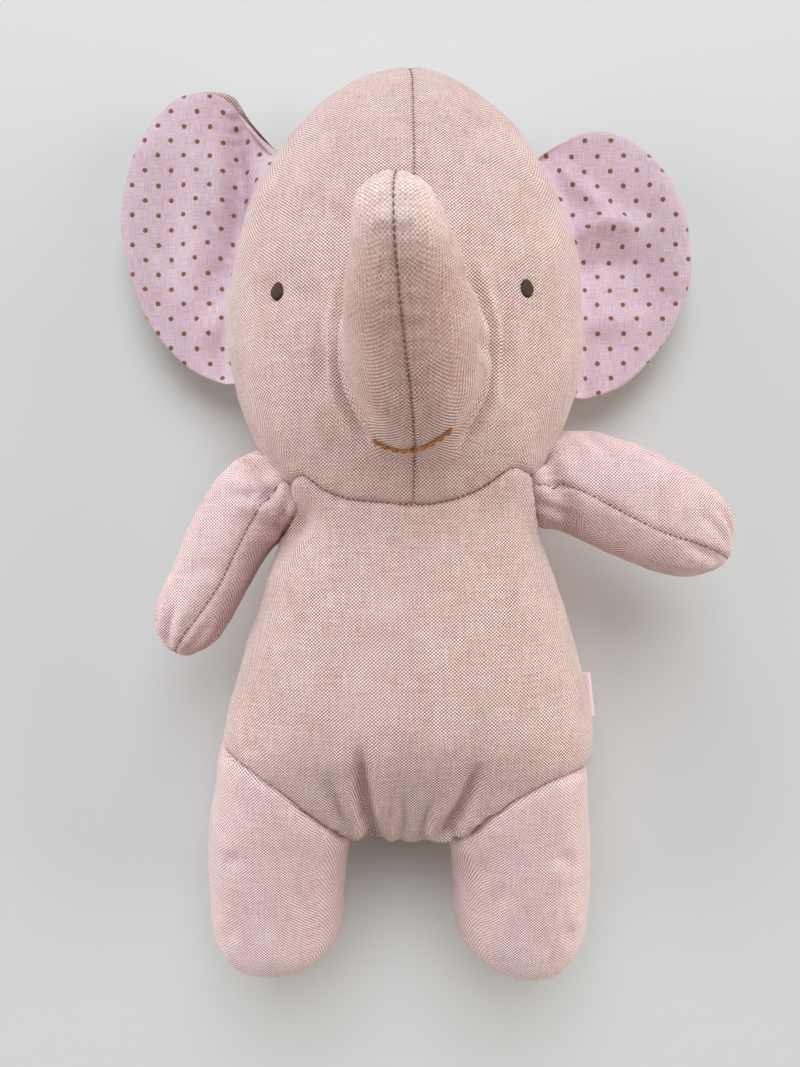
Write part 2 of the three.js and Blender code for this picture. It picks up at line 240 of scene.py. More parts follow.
def zero_lines(obj, values):
    """The lines on a mesh along which the vertices' values cross zero, as ordered arrays of points."""
    points = coords(obj)
    crossing = {}
    links = {}
    loops = np.empty(len(obj.data.loops), dtype=np.int64)
    starts = np.empty(len(obj.data.polygons), dtype=np.int64)
    obj.data.loops.foreach_get("vertex_index", loops)
    obj.data.polygons.foreach_get("loop_start", starts)
    above = values[loops] > 0
    mixed = np.logical_or.reduceat(above, starts) & ~np.logical_and.reduceat(above, starts)
    for number in np.flatnonzero(mixed):
        ends = []
        loop = list(obj.data.polygons[number].vertices)
        for a, b in zip(loop, loop[1:] + loop[:1]):
            if (values[a] > 0) != (values[b] > 0):
                key = (min(a, b), max(a, b))
                if key not in crossing:
                    share = values[key[0]] / (values[key[0]] - values[key[1]])
                    crossing[key] = points[key[0]] * (1 - share) + points[key[1]] * share
                ends.append(key)
        for one, two in zip(ends[::2], ends[1::2]):
            links.setdefault(one, []).append(two)
            links.setdefault(two, []).append(one)
    lines, seen = [], set()
    for start in sorted(links, key=lambda k: (len(links[k]), k)):
        if start in seen:
            continue
        walk, here = [start], start
        seen.add(start)
        while True:
            onward = [k for k in links[here] if k not in seen]
            if not onward:
                break
            here = onward[0]
            seen.add(here)
            walk.append(here)
        if here in links[start] and len(walk) > 4:
            walk.append(start)
        lines.append(np.array([crossing[k] for k in walk]))
    return lines


def long_ones(lines, least=20 * MM):
    return [line for line in lines if np.linalg.norm(np.diff(line, axis=0), axis=1).sum() > least]


def resampled(line, step):
    """The line's points at even steps along it, after a light smoothing."""
    smooth = line.copy()
    for _ in range(3):
        smooth[1:-1] = (smooth[:-2] + 2 * smooth[1:-1] + smooth[2:]) / 4
    lengths = np.concatenate([[0], np.cumsum(np.linalg.norm(np.diff(smooth, axis=0), axis=1))])
    count = max(2, int(lengths[-1] / step) + 1)
    at = np.linspace(0, lengths[-1], count)
    return np.column_stack([np.interp(at, lengths, smooth[:, k]) for k in range(3)])


def kept(line, test):
    """The longest stretch of a line whose points pass the test."""
    passes = [bool(test(p)) for p in line]
    if np.allclose(line[0], line[-1]) and not all(passes) and any(passes):
        first = passes.index(False)
        line = np.vstack([line[first:-1], line[:first + 1]])
        passes = passes[first:-1] + passes[:first + 1]
    best, start = (0, 0), None
    for i, ok in enumerate(passes + [False]):
        if ok and start is None:
            start = i
        if not ok and start is not None:
            if i - start > best[1] - best[0]:
                best = (start, i)
            start = None
    return line[best[0]:best[1]]


# ---- Materials ----
def shader(name, roughness=0.9, sheen=0.25, sheen_roughness=0.5):
    """A material, the wiring of its nodes and its one shader."""
    material = bpy.data.materials.new(name)
    material.use_nodes = True
    tree = material.node_tree
    bsdf = tree.nodes["Principled BSDF"]
    bsdf.inputs["Roughness"].default_value = roughness
    bsdf.inputs["Specular IOR Level"].default_value = 0.25
    bsdf.inputs["Sheen Weight"].default_value = sheen
    bsdf.inputs["Sheen Roughness"].default_value = sheen_roughness
    return material, Wire(tree), bsdf


class Wire:
    """Short calls for shader nodes."""

    def __init__(self, tree):
        self.tree = tree

    def node(self, kind, **settings):
        made = self.tree.nodes.new(kind)
        for key, value in settings.items():
            setattr(made, key, value)
        return made

    def put(self, socket, value):
        if isinstance(value, bpy.types.NodeSocket):
            self.tree.links.new(value, socket)
        else:
            socket.default_value = value

    def math(self, operation, a, b=0.0):
        made = self.node("ShaderNodeMath", operation=operation)
        for socket, value in zip(made.inputs, (a, b)):
            self.put(socket, value)
        return made.outputs[0]

    def join(self, x, y, z=0.0):
        made = self.node("ShaderNodeCombineXYZ")
        for socket, value in zip(made.inputs, (x, y, z)):
            self.put(socket, value)
        return made.outputs[0]

    def split(self, vector):
        made = self.node("ShaderNodeSeparateXYZ")
        self.put(made.inputs[0], vector)
        return made.outputs

    def attribute(self, name, output="Vector"):
        return self.node("ShaderNodeAttribute", attribute_name=name).outputs[output]

    def noise(self, vector, scale, detail=2.0, roughness=0.5):
        made = self.node("ShaderNodeTexNoise")
        self.put(made.inputs["Vector"], vector)
        made.inputs["Scale"].default_value = scale
        made.inputs["Detail"].default_value = detail
        made.inputs["Roughness"].default_value = roughness
        return made.outputs["Fac"]

    def mix(self, factor, a, b):
        made = self.node("ShaderNodeMix", data_type="RGBA")
        self.put(made.inputs["Factor"], factor)
        self.put(made.inputs[6], a)
        self.put(made.inputs[7], b)
        return made.outputs[2]

    def ramp(self, factor, low, high):
        """0 at low, 1 at high, smooth between."""
        made = self.node("ShaderNodeMapRange", interpolation_type="SMOOTHSTEP")
        self.put(made.inputs["Value"], factor)
        made.inputs["From Min"].default_value = low
        made.inputs["From Max"].default_value = high
        return made.outputs[0]

    def shaded_along_seams(self, colour, dark, strength):
        """The colour, darker along the seams of the cloth: painted shade in the seams' grooves."""
        seam = self.math("MULTIPLY", self.attribute("seam", "Fac"), strength)
        return self.mix(seam, colour, tuple(c * 0.6 for c in dark[:3]) + (1,))

    def cover(self, bsdf, colour, height, strength, distance):
        """Gives a shader its colour and its raised threads."""
        bump = self.node("ShaderNodeBump")
        bump.inputs["Strength"].default_value = strength
        bump.inputs["Distance"].default_value = distance
        self.put(bump.inputs["Height"], height)
        self.put(bsdf.inputs["Normal"], bump.outputs[0])
        self.put(bsdf.inputs["Base Color"], colour)


def woven(wire, u, v, pitch, along):
    """A plain weave's checks, and the tone of its two sets of threads, at fabric coordinates u and v."""
    across_u = wire.math("SINE", wire.math("MULTIPLY", u, math.pi / pitch))
    across_v = wire.math("SINE", wire.math("MULTIPLY", v, math.pi / (0.92 * pitch)))
    over = wire.math("MULTIPLY", across_u, across_v)
    fine_u, fine_v = (wire.math("MULTIPLY", c, 1 / pitch) for c in (u, v))
    long_u, long_v = (wire.math("MULTIPLY", c, 1 / along) for c in (u, v))
    warp = wire.noise(wire.join(fine_u, long_v), 1.0)
    weft = wire.noise(wire.join(long_u, fine_v, 7.0), 1.0)
    return over, warp, weft


def fabric_planes(wire):
    """The three flat projections of the resting cloth and how much each counts."""
    x, y, z = wire.split(wire.attribute("rest"))
    facing = wire.split(wire.attribute("rest_n"))
    nx, ny, nz = (wire.math("POWER", wire.math("ABSOLUTE", n), 8.0) for n in facing)
    total = wire.math("ADD", wire.math("ADD", nx, ny), nz)
    weights = [wire.math("DIVIDE", n, total) for n in (nx, ny, nz)]
    return [(y, z), (x, z), (x, y)], weights


def linen(name, light, middle, dark, pitch=0.58 * MM, contrast=1.0):
    material, wire, bsdf = shader(name)
    planes, weights = fabric_planes(wire)
    sums = [0.0, 0.0, 0.0]
    for (u, v), weight in zip(planes, weights):
        for k, part in enumerate(woven(wire, u, v, pitch, 9 * MM)):
            sums[k] = wire.math("ADD", sums[k], wire.math("MULTIPLY", part, weight))
    over, warp, weft = sums
    rest = wire.attribute("rest")
    streaks = wire.math("ADD", warp, weft)  # about 1 on average
    patches = wire.ramp(wire.noise(rest, 90, 2.0), 0.3, 0.7)
    clear = wire.math("ADD", 0.62, wire.math("MULTIPLY", patches, 0.42))
    stretched = wire.ramp(wire.split(rest)[2], 0.100, 0.135)  # the weave is finer on the tight trunk
    clear = wire.math("MULTIPLY", clear, wire.math("SUBTRACT", 1.0, wire.math("MULTIPLY", stretched, 0.6)))
    tone = wire.math("MULTIPLY", over, wire.math("MULTIPLY", clear, contrast))
    tip_highlight = wire.ramp(wire.split(rest)[2], 0.136, 0.160)  # painted highlight: paler at the trunk's tip, which catches the light
    tone = wire.math("ADD", tone, wire.math("MULTIPLY", tip_highlight, 0.26))
    for part, size in (
        (wire.math("SUBTRACT", streaks, 1.0), 0.45 * contrast),
        (wire.math("SUBTRACT", wire.noise(rest, 1900, 1.0), 0.5), 0.6 * contrast),
        (wire.math("SUBTRACT", wire.noise(rest, 70, 3.0, 0.6), 0.5), 0.3),
    ):
        tone = wire.math("ADD", tone, wire.math("MULTIPLY", part, size))
    colour = wire.mix(wire.ramp(tone, -0.7, 0.1), dark, middle)
    colour = wire.mix(wire.ramp(tone, -0.1, 0.7), colour, light)
    lint = wire.ramp(wire.noise(rest, 1150, 2.0, 0.7), 0.70, 0.76)
    colour = wire.mix(wire.math("MULTIPLY", lint, 0.7), colour, (0.92, 0.86, 0.83, 1))
    wire.put(bsdf.inputs["Roughness"], wire.math("SUBTRACT", 0.96, wire.math("MULTIPLY", warp, 0.12)))
    height = wire.math("ADD", wire.math("ABSOLUTE", over), wire.math("MULTIPLY", streaks, 0.6))
    # painted shade along the seams
    wire.cover(bsdf, wire.shaded_along_seams(colour, dark, 0.26), height, 0.55, 0.12 * MM)
    return material


def dotted_cotton(name, ground, shade, dot, row=5.9 * MM, spacing=10.3 * MM, radius=1.0 * MM):
    """Fine cotton with staggered rows of printed dots, laid out on the ear's flat pattern."""
    material, wire, bsdf = shader(name, 0.85, 0.15)
    flat = wire.attribute("flat")
    x, y, _ = wire.split(flat)
    over, warp, weft = woven(wire, x, y, 0.3 * MM, 6 * MM)
    streaks = wire.math("SUBTRACT", wire.math("ADD", warp, weft), 1.0)
    clouds = wire.math("SUBTRACT", wire.noise(flat, 60, 2.0), 0.5)
    tone = wire.math("ADD", wire.math("MULTIPLY", streaks, 1.3), wire.math("MULTIPLY", clouds, 0.5))
    colour = wire.mix(wire.ramp(tone, -0.6, 0.6), shade, ground)
    wobble = wire.math("MULTIPLY", wire.math("SUBTRACT", wire.noise(flat, 900, 1.0), 0.5), 0.5 * MM)
    nearest = None
    for shift in (0.0, 0.5):
        px = wire.math("PINGPONG", wire.math("ADD", x, spacing * shift), spacing / 2)
        py = wire.math("PINGPONG", wire.math("ADD", y, row * 2 * shift), row)
        away = wire.math("SQRT", wire.math("ADD", wire.math("POWER", px, 2.0), wire.math("POWER", py, 2.0)))
        nearest = away if nearest is None else wire.math("MINIMUM", nearest, away)
    edge = wire.ramp(wire.math("ADD", nearest, wobble), radius * 0.8, radius * 1.15)
    ink = wire.math("SUBTRACT", 1.0, edge)
    colour = wire.mix(wire.math("MULTIPLY", ink, 0.93), colour, dot)
    height = wire.math("ADD", wire.math("ABSOLUTE", over), streaks)
    # painted shade along the ear's rim seam
    wire.cover(bsdf, wire.shaded_along_seams(colour, shade, 0.4), height, 0.4, 0.06 * MM)
    return material


def thread(name, light, dark, twist=7200):
    """Twisted thread: a fine diagonal grain along each strand."""
    material, wire, bsdf = shader(name, 0.55, 0.3, 0.35)
    rest = wire.node("ShaderNodeTexCoord").outputs["Object"]
    x, y, z = wire.split(rest)
    slant = wire.math("SINE", wire.math("MULTIPLY", wire.math("ADD", wire.math("ADD", x, y), z), twist))
    grain = wire.noise(rest, 1500, 2.0)
    tone = wire.math("ADD", wire.math("MULTIPLY", slant, 0.22), grain)
    wire.cover(bsdf, wire.mix(wire.ramp(tone, 0.2, 0.8), dark, light), tone, 0.6, 0.1 * MM)
    return material


def srgb(code):
    """A linear colour from a written sRGB one."""
    parts = [int(code[i:i + 2], 16) / 255 for i in (0, 2, 4)]
    return tuple(c / 12.92 if c <= 0.04045 else ((c + 0.055) / 1.055) ** 2.4 for c in parts) + (1.0,)


LINEN = linen("dusty_pink_linen", srgb("fff0eb"), srgb("cea59c"), srgb("6e3d33"))
# a lighter, pinker copy of the linen for the arms and legs: painted light, standing in for the brighter
# light on them
LIMB_LINEN_PAINTED_LIGHTER = linen("linen_painted_lighter_for_limbs", srgb("fff3f1"), srgb("e4bcb8"), srgb("8a554d"))
COTTON = dotted_cotton("dotted_ear_cotton", srgb("e4ccd4"), srgb("bd9aa5"), srgb("7c4410"))
BROWN = thread("dark_brown_thread", srgb("5a392f"), srgb("2b1712"))
RUST = thread("rust_thread", srgb("c47a3c"), srgb("8a4a1c"))
PEACH = thread("peach_thread", srgb("e8b088"), srgb("b8764c"))
SEWING = thread("pink_sewing_thread", srgb("a87468"), srgb("603730"))
PALE = thread("pale_sewing_thread", srgb("d0a59b"), srgb("99695f"))
RIBBON = linen("tag_ribbon", srgb("fbe6e6"), srgb("efd0d0"), srgb("cf9f9c"), 0.32 * MM, 0.5)


# ---- Forms, from the frame's boxes and pivots ----
head_centre, _ = box_of("head_left_panel", "head_right_panel")
torso_centre, _ = box_of("torso_front_panel", "torso_back_left_panel", "torso_back_right_panel")

HEAD = Form(
    head_centre,
    [
        (0.5, 81, -3.5, 57, 43), (0.5, 53, -3, 60, 47), (0.5, 25, -2.5, 62.5, 50.5),
        (0.5, -3, -2, 64, 51.5), (0.5, -31, -2, 65, 51), (0.5, -59, -2.5, 66, 50), (0.5, -87, -4, 67, 47),
    ],
    (0.5, 0.44), (0.46, 0.3),
)
TRUNK = Form(
    PIVOT["trunk_bend"],
    [
        (0.5, -9, -20, 26, 29), (0.8, -4, -3, 24.5, 27), (0.8, 1.5, 11, 22.6, 24),
        (-0.5, 8.5, 26, 20.2, 19.6), (-2.6, 16.5, 41, 16.6, 15.6), (-4.2, 24, 54, 13.4, 12.8),
        (-5.2, 29, 65, 11, 11),
    ],
    (0.12, 0.12), (0.12, 0.12),
)
TORSO = Form(
    [0, torso_centre[1], 0],
    [
        (1.5, 68, 40, 40.5, 38), (2.5, 47, 40, 44.8, 40.3), (2.5, 25, 41.5, 52, 44.5),
        (2.5, 3, 43, 59, 47.5), (2.2, -19, 43.5, 64.3, 48.8), (1.6, -41, 44.5, 67, 48.5),
        (1, -69, 48, 67.5, 45),
    ],
    (0.03, 0.22), (0.03, 0.3), box=0.8,
)


def arm_form(side):
    """side is 1 for the elephant's left arm, which is raised, and -1 for its hanging right arm."""
    if side > 0:
        return Form(
            PIVOT["shoulder_left_swing"],
            [
                (-9, -1, 0, 12, 16.5), (6, 2, 0, 16.5, 18.5), (22, 4, 1, 20, 19), (37, -1, 3, 21.4, 19.5),
                (51, -8.5, 4, 20.8, 19), (65, -16.5, 5, 18.4, 16.5), (78, -26, 5, 14, 13.5),
            ],
            (0.12, 0.2), (0.12, 0.2), "z",
        )
    return Form(
        PIVOT["shoulder_right_swing"],
        [
            (9, 7, -1, 11.5, 16.5), (-4, 2.5, -1, 15.8, 18.5), (-14, -2, 0, 17.4, 18),
            (-24, -14, 1, 16.6, 17), (-32, -31, 2, 15.6, 16), (-39, -46, 3, 14.6, 15),
            (-44, -60, 3, 12.5, 12.5),
        ],
        (0.12, 0.2), (0.12, 0.2), "z",
    )


def leg_form(side):
    pivot = PIVOT["hip_left_fold" if side > 0 else "hip_right_fold"]
    return Form(
        pivot,
        [
            (-side, 30, 6, 18, 26), (-side, 8, 4, 22.5, 30), (-side * 0.5, -14, 1, 25.6, 30.5),
            (0, -37, -4, 26.6, 30), (side * 0.5, -57, -9, 26.4, 29.5), (side * 0.5, -74, -12.5, 25.6, 28.5),
        ],
        (0.2, 0.24), (0.2, 0.24),
    )


# ---- Soft skins: even mesh, cloth under pressure, fine surface ----
def start_skin(name, *forms, shrink=1.2 * MM):
    obj = remeshed(joined(name, [form.mesh() for form in forms]), SKIN_VOXEL)
    relaxed(obj, 6)
    set_coords(obj, coords(obj) - normals(obj) * shrink)
    return obj


def add_cloth(obj, pin_values, pressure=4.0):
    """Cloth under air pressure, held at the vertices whose pin value is near 1."""
    group = obj.vertex_groups.new(name="pin")
    for i, value in enumerate(pin_values):
        if value > 0.02:
            group.add([i], float(value), "REPLACE")
    cloth = obj.modifiers.new("Cloth", "CLOTH")
    settings = cloth.settings
    settings.quality = 5
    settings.mass = 0.3
    settings.tension_stiffness = settings.compression_stiffness = 25
    settings.shear_stiffness = 10
    settings.bending_stiffness = 0.6
    settings.use_pressure = True
    settings.uniform_pressure_force = pressure
    settings.vertex_group_mass = "pin"
    settings.effector_weights.gravity = 0
    cloth.point_cache.frame_start = 1
    cloth.point_cache.frame_end = CLOTH_FRAMES
    return obj


def run_cloth(objects, cap=3.2 * MM):
    """Steps the cloth, then keeps its result with no point moved further than the cap."""
    before = {o.name: coords(o) for o in objects}
    scene = bpy.context.scene
    for number in range(1, CLOTH_FRAMES + 1):
        scene.frame_set(number)
    for obj in objects:
        bake(obj)
        start = before[obj.name]
        move = coords(obj) - start
        size = np.linalg.norm(move, axis=1)[:, None]
        move *= np.minimum(1, cap / np.maximum(size, 1e-9))
        set_coords(obj, start + move)
        obj.vertex_groups.clear()
    scene.frame_set(1)


def lumps(points, wavelength, seed):
    """Smooth noise from -1 to 1 at each point."""
    shift = Vector((seed * 3.7, seed * 1.3, seed * 5.1))
    return np.array([noise.noise(Vector(p) / wavelength + shift) for p in points])


def beside(points, walk, reach, batch=4000):
    """Batches of the points near a walk: their indices and their distances to each point of the walk."""
    low, high = walk.min(axis=0) - reach, walk.max(axis=0) + reach
    near = np.flatnonzero(np.all((points > low) & (points < high), axis=1))
    for k in range(0, len(near), batch):
        some = near[k:k + batch]
        yield some, np.linalg.norm(points[some][:, None] - walk[None], axis=2)


def nearest_on(lines, points):
    """Distances from points to the nearest of the lines, and where along the lines' points that is."""
    walk = np.vstack([resampled(line, WALK_STEP) for line in lines])
    away = np.full(len(points), 1.0)
    place = np.zeros(len(points), dtype=int)
    for some, gap in beside(points, walk, 30 * MM):
        place[some] = np.argmin(gap, axis=1)
        away[some] = gap.min(axis=1)
    return away, place, walk


def sew(obj, lines, depth=0.55 * MM, width=1.0 * MM, pucker=0.3 * MM, seed=1):
    """Pulls a seam's groove into a skin, with puckers beside it, and marks it for the material's painted
    shade along the seam.
    """
    points, out = coords(obj), normals(obj)
    away, place, walk = nearest_on(lines, points)
    along = np.array([noise.noise(Vector((k * 0.25, seed * 9.1, 0))) for k in range(len(walk))])
    side = np.exp(-(((away - 2.8 * MM) / (2.2 * MM)) ** 2))
    move = pucker * side * (0.4 + 1.8 * along[place]) - depth * np.exp(-((away / width) ** 2))
    set_coords(obj, points + out * move[:, None])
    mark(obj, "seam", np.maximum(read(obj, "seam"), np.exp(-((away / (0.5 * MM)) ** 2))))


def press_folds(obj, folds, ridge=0.4):
    """Presses creases, each a (route, depth, width) near the skin, that fade at their ends."""
    points, out, tree = coords(obj), normals(obj), bvh_of(obj)
    move = np.zeros(len(points))
    for route, depth, width in folds:
        walk = resampled(np.array(route, float), WALK_STEP)
        walk = np.array([tree.find_nearest(Vector(p))[0] for p in walk])
        for some, gap in beside(points, walk, 5 * width):
            place, away = gap.argmin(axis=1), gap.min(axis=1)
            fade = np.sin(np.pi * (place + 0.5) / len(walk)) ** 0.7
            shape = ridge * np.exp(-(((away - 2 * width) / width) ** 2)) - np.exp(-((away / width) ** 2))
            move[some] += depth * fade * shape
    set_coords(obj, points + out * move[:, None])


def fill_crease(one, other, lines, reach=12 * MM, share=0.55):
    """Plumps up both skins beside the line where they meet, so that the cloth runs over it."""
    trees = [bvh_of(one), bvh_of(other)]
    for line in lines:
        walk = resampled(line, 1.5 * MM)
        lift = []
        for p in walk:
            n = [tree.find_nearest(Vector(p))[1] for tree in trees]
            middle = (n[0] + n[1]).normalized()
            bend = min(n[0].angle(n[1]), 1.7) / 2
            facing = min(1, max(0, 0.3 + middle.z))  # less towards the back
            lift.append(np.array(middle * (share * reach * math.tan(bend) * facing)))
        lift = np.array(lift)
        for _ in range(6):
            lift[1:-1] = (lift[:-2] + 2 * lift[1:-1] + lift[2:]) / 4
        for obj in (one, other):
            points = coords(obj)
            for some, gap in beside(points, walk, 3 * reach):
                least = gap.min(axis=1)
                weight = np.exp(-(gap**2 - least[:, None] ** 2) / (2 * (5 * MM) ** 2))
                way = (weight[..., None] * lift[None]).sum(axis=1) / weight.sum(axis=1)[:, None]
                points[some] += way * np.exp(-((least / reach) ** 2))[:, None]
            set_coords(obj, points)


def mark(obj, name, values):
    values = np.asarray(values, float)
    kind = "FLOAT" if values.ndim == 1 else "FLOAT_VECTOR"
    layer = obj.data.attributes.get(name) or obj.data.attributes.new(name, kind, "POINT")
    layer.data.foreach_set("value" if kind == "FLOAT" else "vector", values.ravel())


def read(obj, name):
    layer = obj.data.attributes.get(name)
    values = np.zeros(len(obj.data.vertices))
    if layer:
        layer.data.foreach_get("value", values)
    return values


def dimple(points, out, centre, radius, depth):
    """Moves points near a spot along their normals; a positive depth pushes in."""
    away = np.linalg.norm(points - np.asarray(centre), axis=1)
    return points - out * (depth * np.exp(-((away / radius) ** 2)))[:, None]


def settle(obj, floor=0.15 * MM):
    """Lets the skin press flat where it would go through the surface that it lies on."""
    points = coords(obj)
    points[:, 2] = np.maximum(points[:, 2], floor)
    set_coords(obj, points)


def finish_skin(obj, material):
    for poly in obj.data.polygons:
        poly.use_smooth = True
    mark(obj, "rest", coords(obj))
    mark(obj, "rest_n", normals(obj))
    if not obj.data.attributes.get("seam"):
        mark(obj, "seam", np.zeros(len(obj.data.vertices)))
    obj.data.materials.clear()
    obj.data.materials.append(material)
    return obj


# ---- Thread ----
def strand(points, radius, sides=6, taper=0.55):
    """A short thread along points, thinner at its ends, as (points, faces)."""
    points = np.asarray(points, float)
    rings, faces = [], []
    last = len(points) - 1
    for i, p in enumerate(points):
        ahead = points[min(i + 1, last)] - points[max(i - 1, 0)]
        forward = Vector(ahead).normalized()
        side = forward.cross(UP if abs(forward.z) < 0.9 else Vector((1, 0, 0))).normalized()
        up = side.cross(forward)
        thin = radius * (1 - (1 - taper) * abs(2 * i / last - 1) ** 3)
        for k in range(sides):
            angle = 2 * math.pi * k / sides
            rings.append(Vector(p) + side * math.cos(angle) * thin + up * math.sin(angle) * thin)
    for i in range(last):
        for k in range(sides):
            a, b = i * sides + k, i * sides + (k + 1) % sides
            faces.append((a, b, b + sides, a + sides))
    faces.append(tuple(range(sides))[::-1])
    faces.append(tuple(last * sides + k for k in range(sides)))
    return np.array([tuple(r) for r in rings]), faces


def on_surface(tree, p, lift):
    spot, normal, _, _ = tree.find_nearest(Vector(p))
    return np.array(spot + normal * lift)


def stitches(name, skin, lines, material, pitch=SEAM_PITCH, share=0.76, radius=0.21 * MM, lift=0.1 * MM):
    """A row of short stitches lying along the lines on a skin."""
    tree = bvh_of(skin)
    parts = []
    for line in lines:
        if len(line) < 3:
            continue
        walk = resampled(line, pitch / 4)
        for start in range(0, len(walk) - 4, 4):
            first, final = walk[start], walk[start + 4]
            ends = [first + (final - first) * f for f in (0.0, share / 2, share)]
            lifts = (lift - radius, lift + radius * 0.5, lift - radius)
            parts.append(strand([on_surface(tree, p, h) for p, h in zip(ends, lifts)], radius, 5))
    obj = joined(name, parts)
    return finish_thread(obj, material)


def finish_thread(obj, material):
    for poly in obj.data.polygons:
        poly.use_smooth = True
    obj.data.materials.append(material)
    return obj


# ---- Camera, floor and light ----
def set_stage():
    scene = bpy.context.scene
    floor = new_object("floor", [(-3, -3, 0), (3, -3, 0), (3, 3, 0), (-3, 3, 0)], [(0, 1, 2, 3)])
    floor.location.z = -0.3 * MM
    material, _, bsdf = shader("pale_floor", 0.8, 0.0)
    bsdf.inputs["Base Color"].default_value = FLOOR_COLOUR
    floor.data.materials.append(material)

    world = bpy.data.worlds.new("soft_room")
    world.use_nodes = True
    wire = Wire(world.node_tree)
    height = wire.split(wire.node("ShaderNodeTexCoord").outputs["Generated"])[2]
    above = wire.ramp(height, -0.1, 0.9)
    background = world.node_tree.nodes["Background"]
    wire.put(background.inputs["Color"], wire.mix(above, (0.40, 0.37, 0.35, 1), (0.20, 0.17, 0.15, 1)))
    scene.world = world
    for name, place, size, power, tint in (
        ("window", (0, 1.74, 2.06), 2.0, 62, (0.88, 1.0, 1.1)),
        ("doorway", (2.56, 0, 0.84), 2.0, 45, (1.0, 1.0, 0.94)),
        ("far_window", (-2.56, 0, 0.84), 2.0, 45, (0.95, 1.0, 1.0)),
    ):
        lamp = bpy.data.lights.new(name, "AREA")
        lamp.size, lamp.energy, lamp.color = size, power, tint
        holder = bpy.data.objects.new(name, lamp)
        holder.location = place
        holder.rotation_euler = (-Vector(place)).to_track_quat("-Z", "Y").to_euler()
        scene.collection.objects.link(holder)

    camera = bpy.data.cameras.new("camera")
    camera.sensor_width, camera.lens = 36, 27
    camera.clip_start = 0.01
    eye = bpy.data.objects.new("camera", camera)
    eye.location = CAMERA_PLACE
    scene.collection.objects.link(eye)
    scene.camera = eye
    scene.view_settings.view_transform = "Standard"


set_stage()

# ---- Skins ----
SKINS = {
    "head_and_trunk_skin": (HEAD, TRUNK),
    "torso_skin": (TORSO,),
    "arm_left_skin": (arm_form(1),),
    "arm_right_skin": (arm_form(-1),),
    "leg_left_skin": (leg_form(1),),
    "leg_right_skin": (leg_form(-1),),
}
skins = {name: start_skin(name, *forms) for name, forms in SKINS.items()}
head_skin, torso_skin = skins["head_and_trunk_skin"], skins["torso_skin"]


def trunk_lean(points):
    """How far the centre seam stands to the side at each point: it follows the trunk."""
    z = TRUNK.rows[:, 2]
    x = TRUNK.rows[:, 0]
    return np.interp(points[:, 2], np.concatenate([[z[0] - 0.03], z]), np.concatenate([[0], x]))


def soften_trunk_base(obj):
    """Smooths the crease where the trunk rises from the face."""
    tree = BVHTree.FromPolygons([Vector(p) for p in TRUNK.mesh()[0]], TRUNK.mesh()[1])
    shell = new_object("face_alone", *HEAD.mesh())
    lines = long_ones(zero_lines(shell, signed_distance(tree, coords(shell))))
    bpy.data.objects.remove(shell)
    points = coords(obj)
    away, _, _ = nearest_on(lines, points)
    aside = np.clip(np.abs(points[:, 0] - PIVOT["trunk_bend"][0]) / (20 * MM), 0, 1)
    relaxed(obj, 12, 0.5, np.clip(1.5 - away / (9 * MM), 0, 1) * (1 - 0.75 * aside**3))


soften_trunk_base(head_skin)


def side_of_arm(points, form, side):
    """Signed distance of each point from the arm's seam, which is straighter than the arm."""
    t = np.linspace(0, 1, 120)
    centre, across, _, _, _ = form.frames(t)
    nearest = np.argmin(np.linalg.norm(points[:, None, :2] - centre[None, :, :2], axis=2), axis=1)
    straighter = 7 * MM * np.sin(math.pi * np.clip(t[nearest] * 1.25 - 0.2, 0, 1))
    return np.einsum("ij,ij->i", points - centre[nearest], across[nearest]) + side * straighter


def level_of_leg(points, form):
    """Signed height of each point over the leg's side seams."""
    t = np.linspace(0, 1, 80)
    centre, _, up, _, _ = form.frames(t)
    nearest = np.argmin(np.abs(points[:, None, 1] - centre[None, :, 1]), axis=1)
    return np.einsum("ij,ij->i", points - centre[nearest], up[nearest])


def torso_side(points):
    """Signed height of each point over the side seams. The one on its right lies further forward."""
    z = np.interp(-points[:, 1], -TORSO.rows[:, 1], TORSO.rows[:, 2])
    return points[:, 2] - z - 11 * MM * np.clip(-points[:, 0] / (50 * MM), 0, 1)


def seam_value(name, points):
    if name == "head_and_trunk_skin":
        return points[:, 0] - trunk_lean(points)
    if name == "torso_skin":
        return torso_side(points)
    form = SKINS[name][0]
    if name.startswith("arm"):
        return side_of_arm(points, form, 1 if "left" in name else -1)
    return level_of_leg(points, form)


for name, obj in skins.items():
    add_cloth(obj, np.exp(-((seam_value(name, coords(obj)) / (3.5 * MM)) ** 2)))
run_cloth(list(skins.values()))
LIMBS = ("arm_left_skin", "arm_right_skin", "leg_left_skin", "leg_right_skin")


def meeting(skin):
    """The lines along which the torso's skin goes into another skin."""
    points, other = coords(torso_skin), coords(skin)
    near = np.all((points > other.min(axis=0) - 2 * MM) & (points < other.max(axis=0) + 2 * MM), axis=1)
    values = np.full(len(points), 1.0)
    values[near] = signed_distance(bvh_of(skin), points[near])
    return long_ones(zero_lines(torso_skin, values))


def bump(obj, centre, radius, move):
    """Moves a skin's points near a spot."""
    points = coords(obj)
    near = np.exp(-((np.linalg.norm(points - np.asarray(centre), axis=1) / radius) ** 2))
    set_coords(obj, points + near[:, None] * np.array(move))


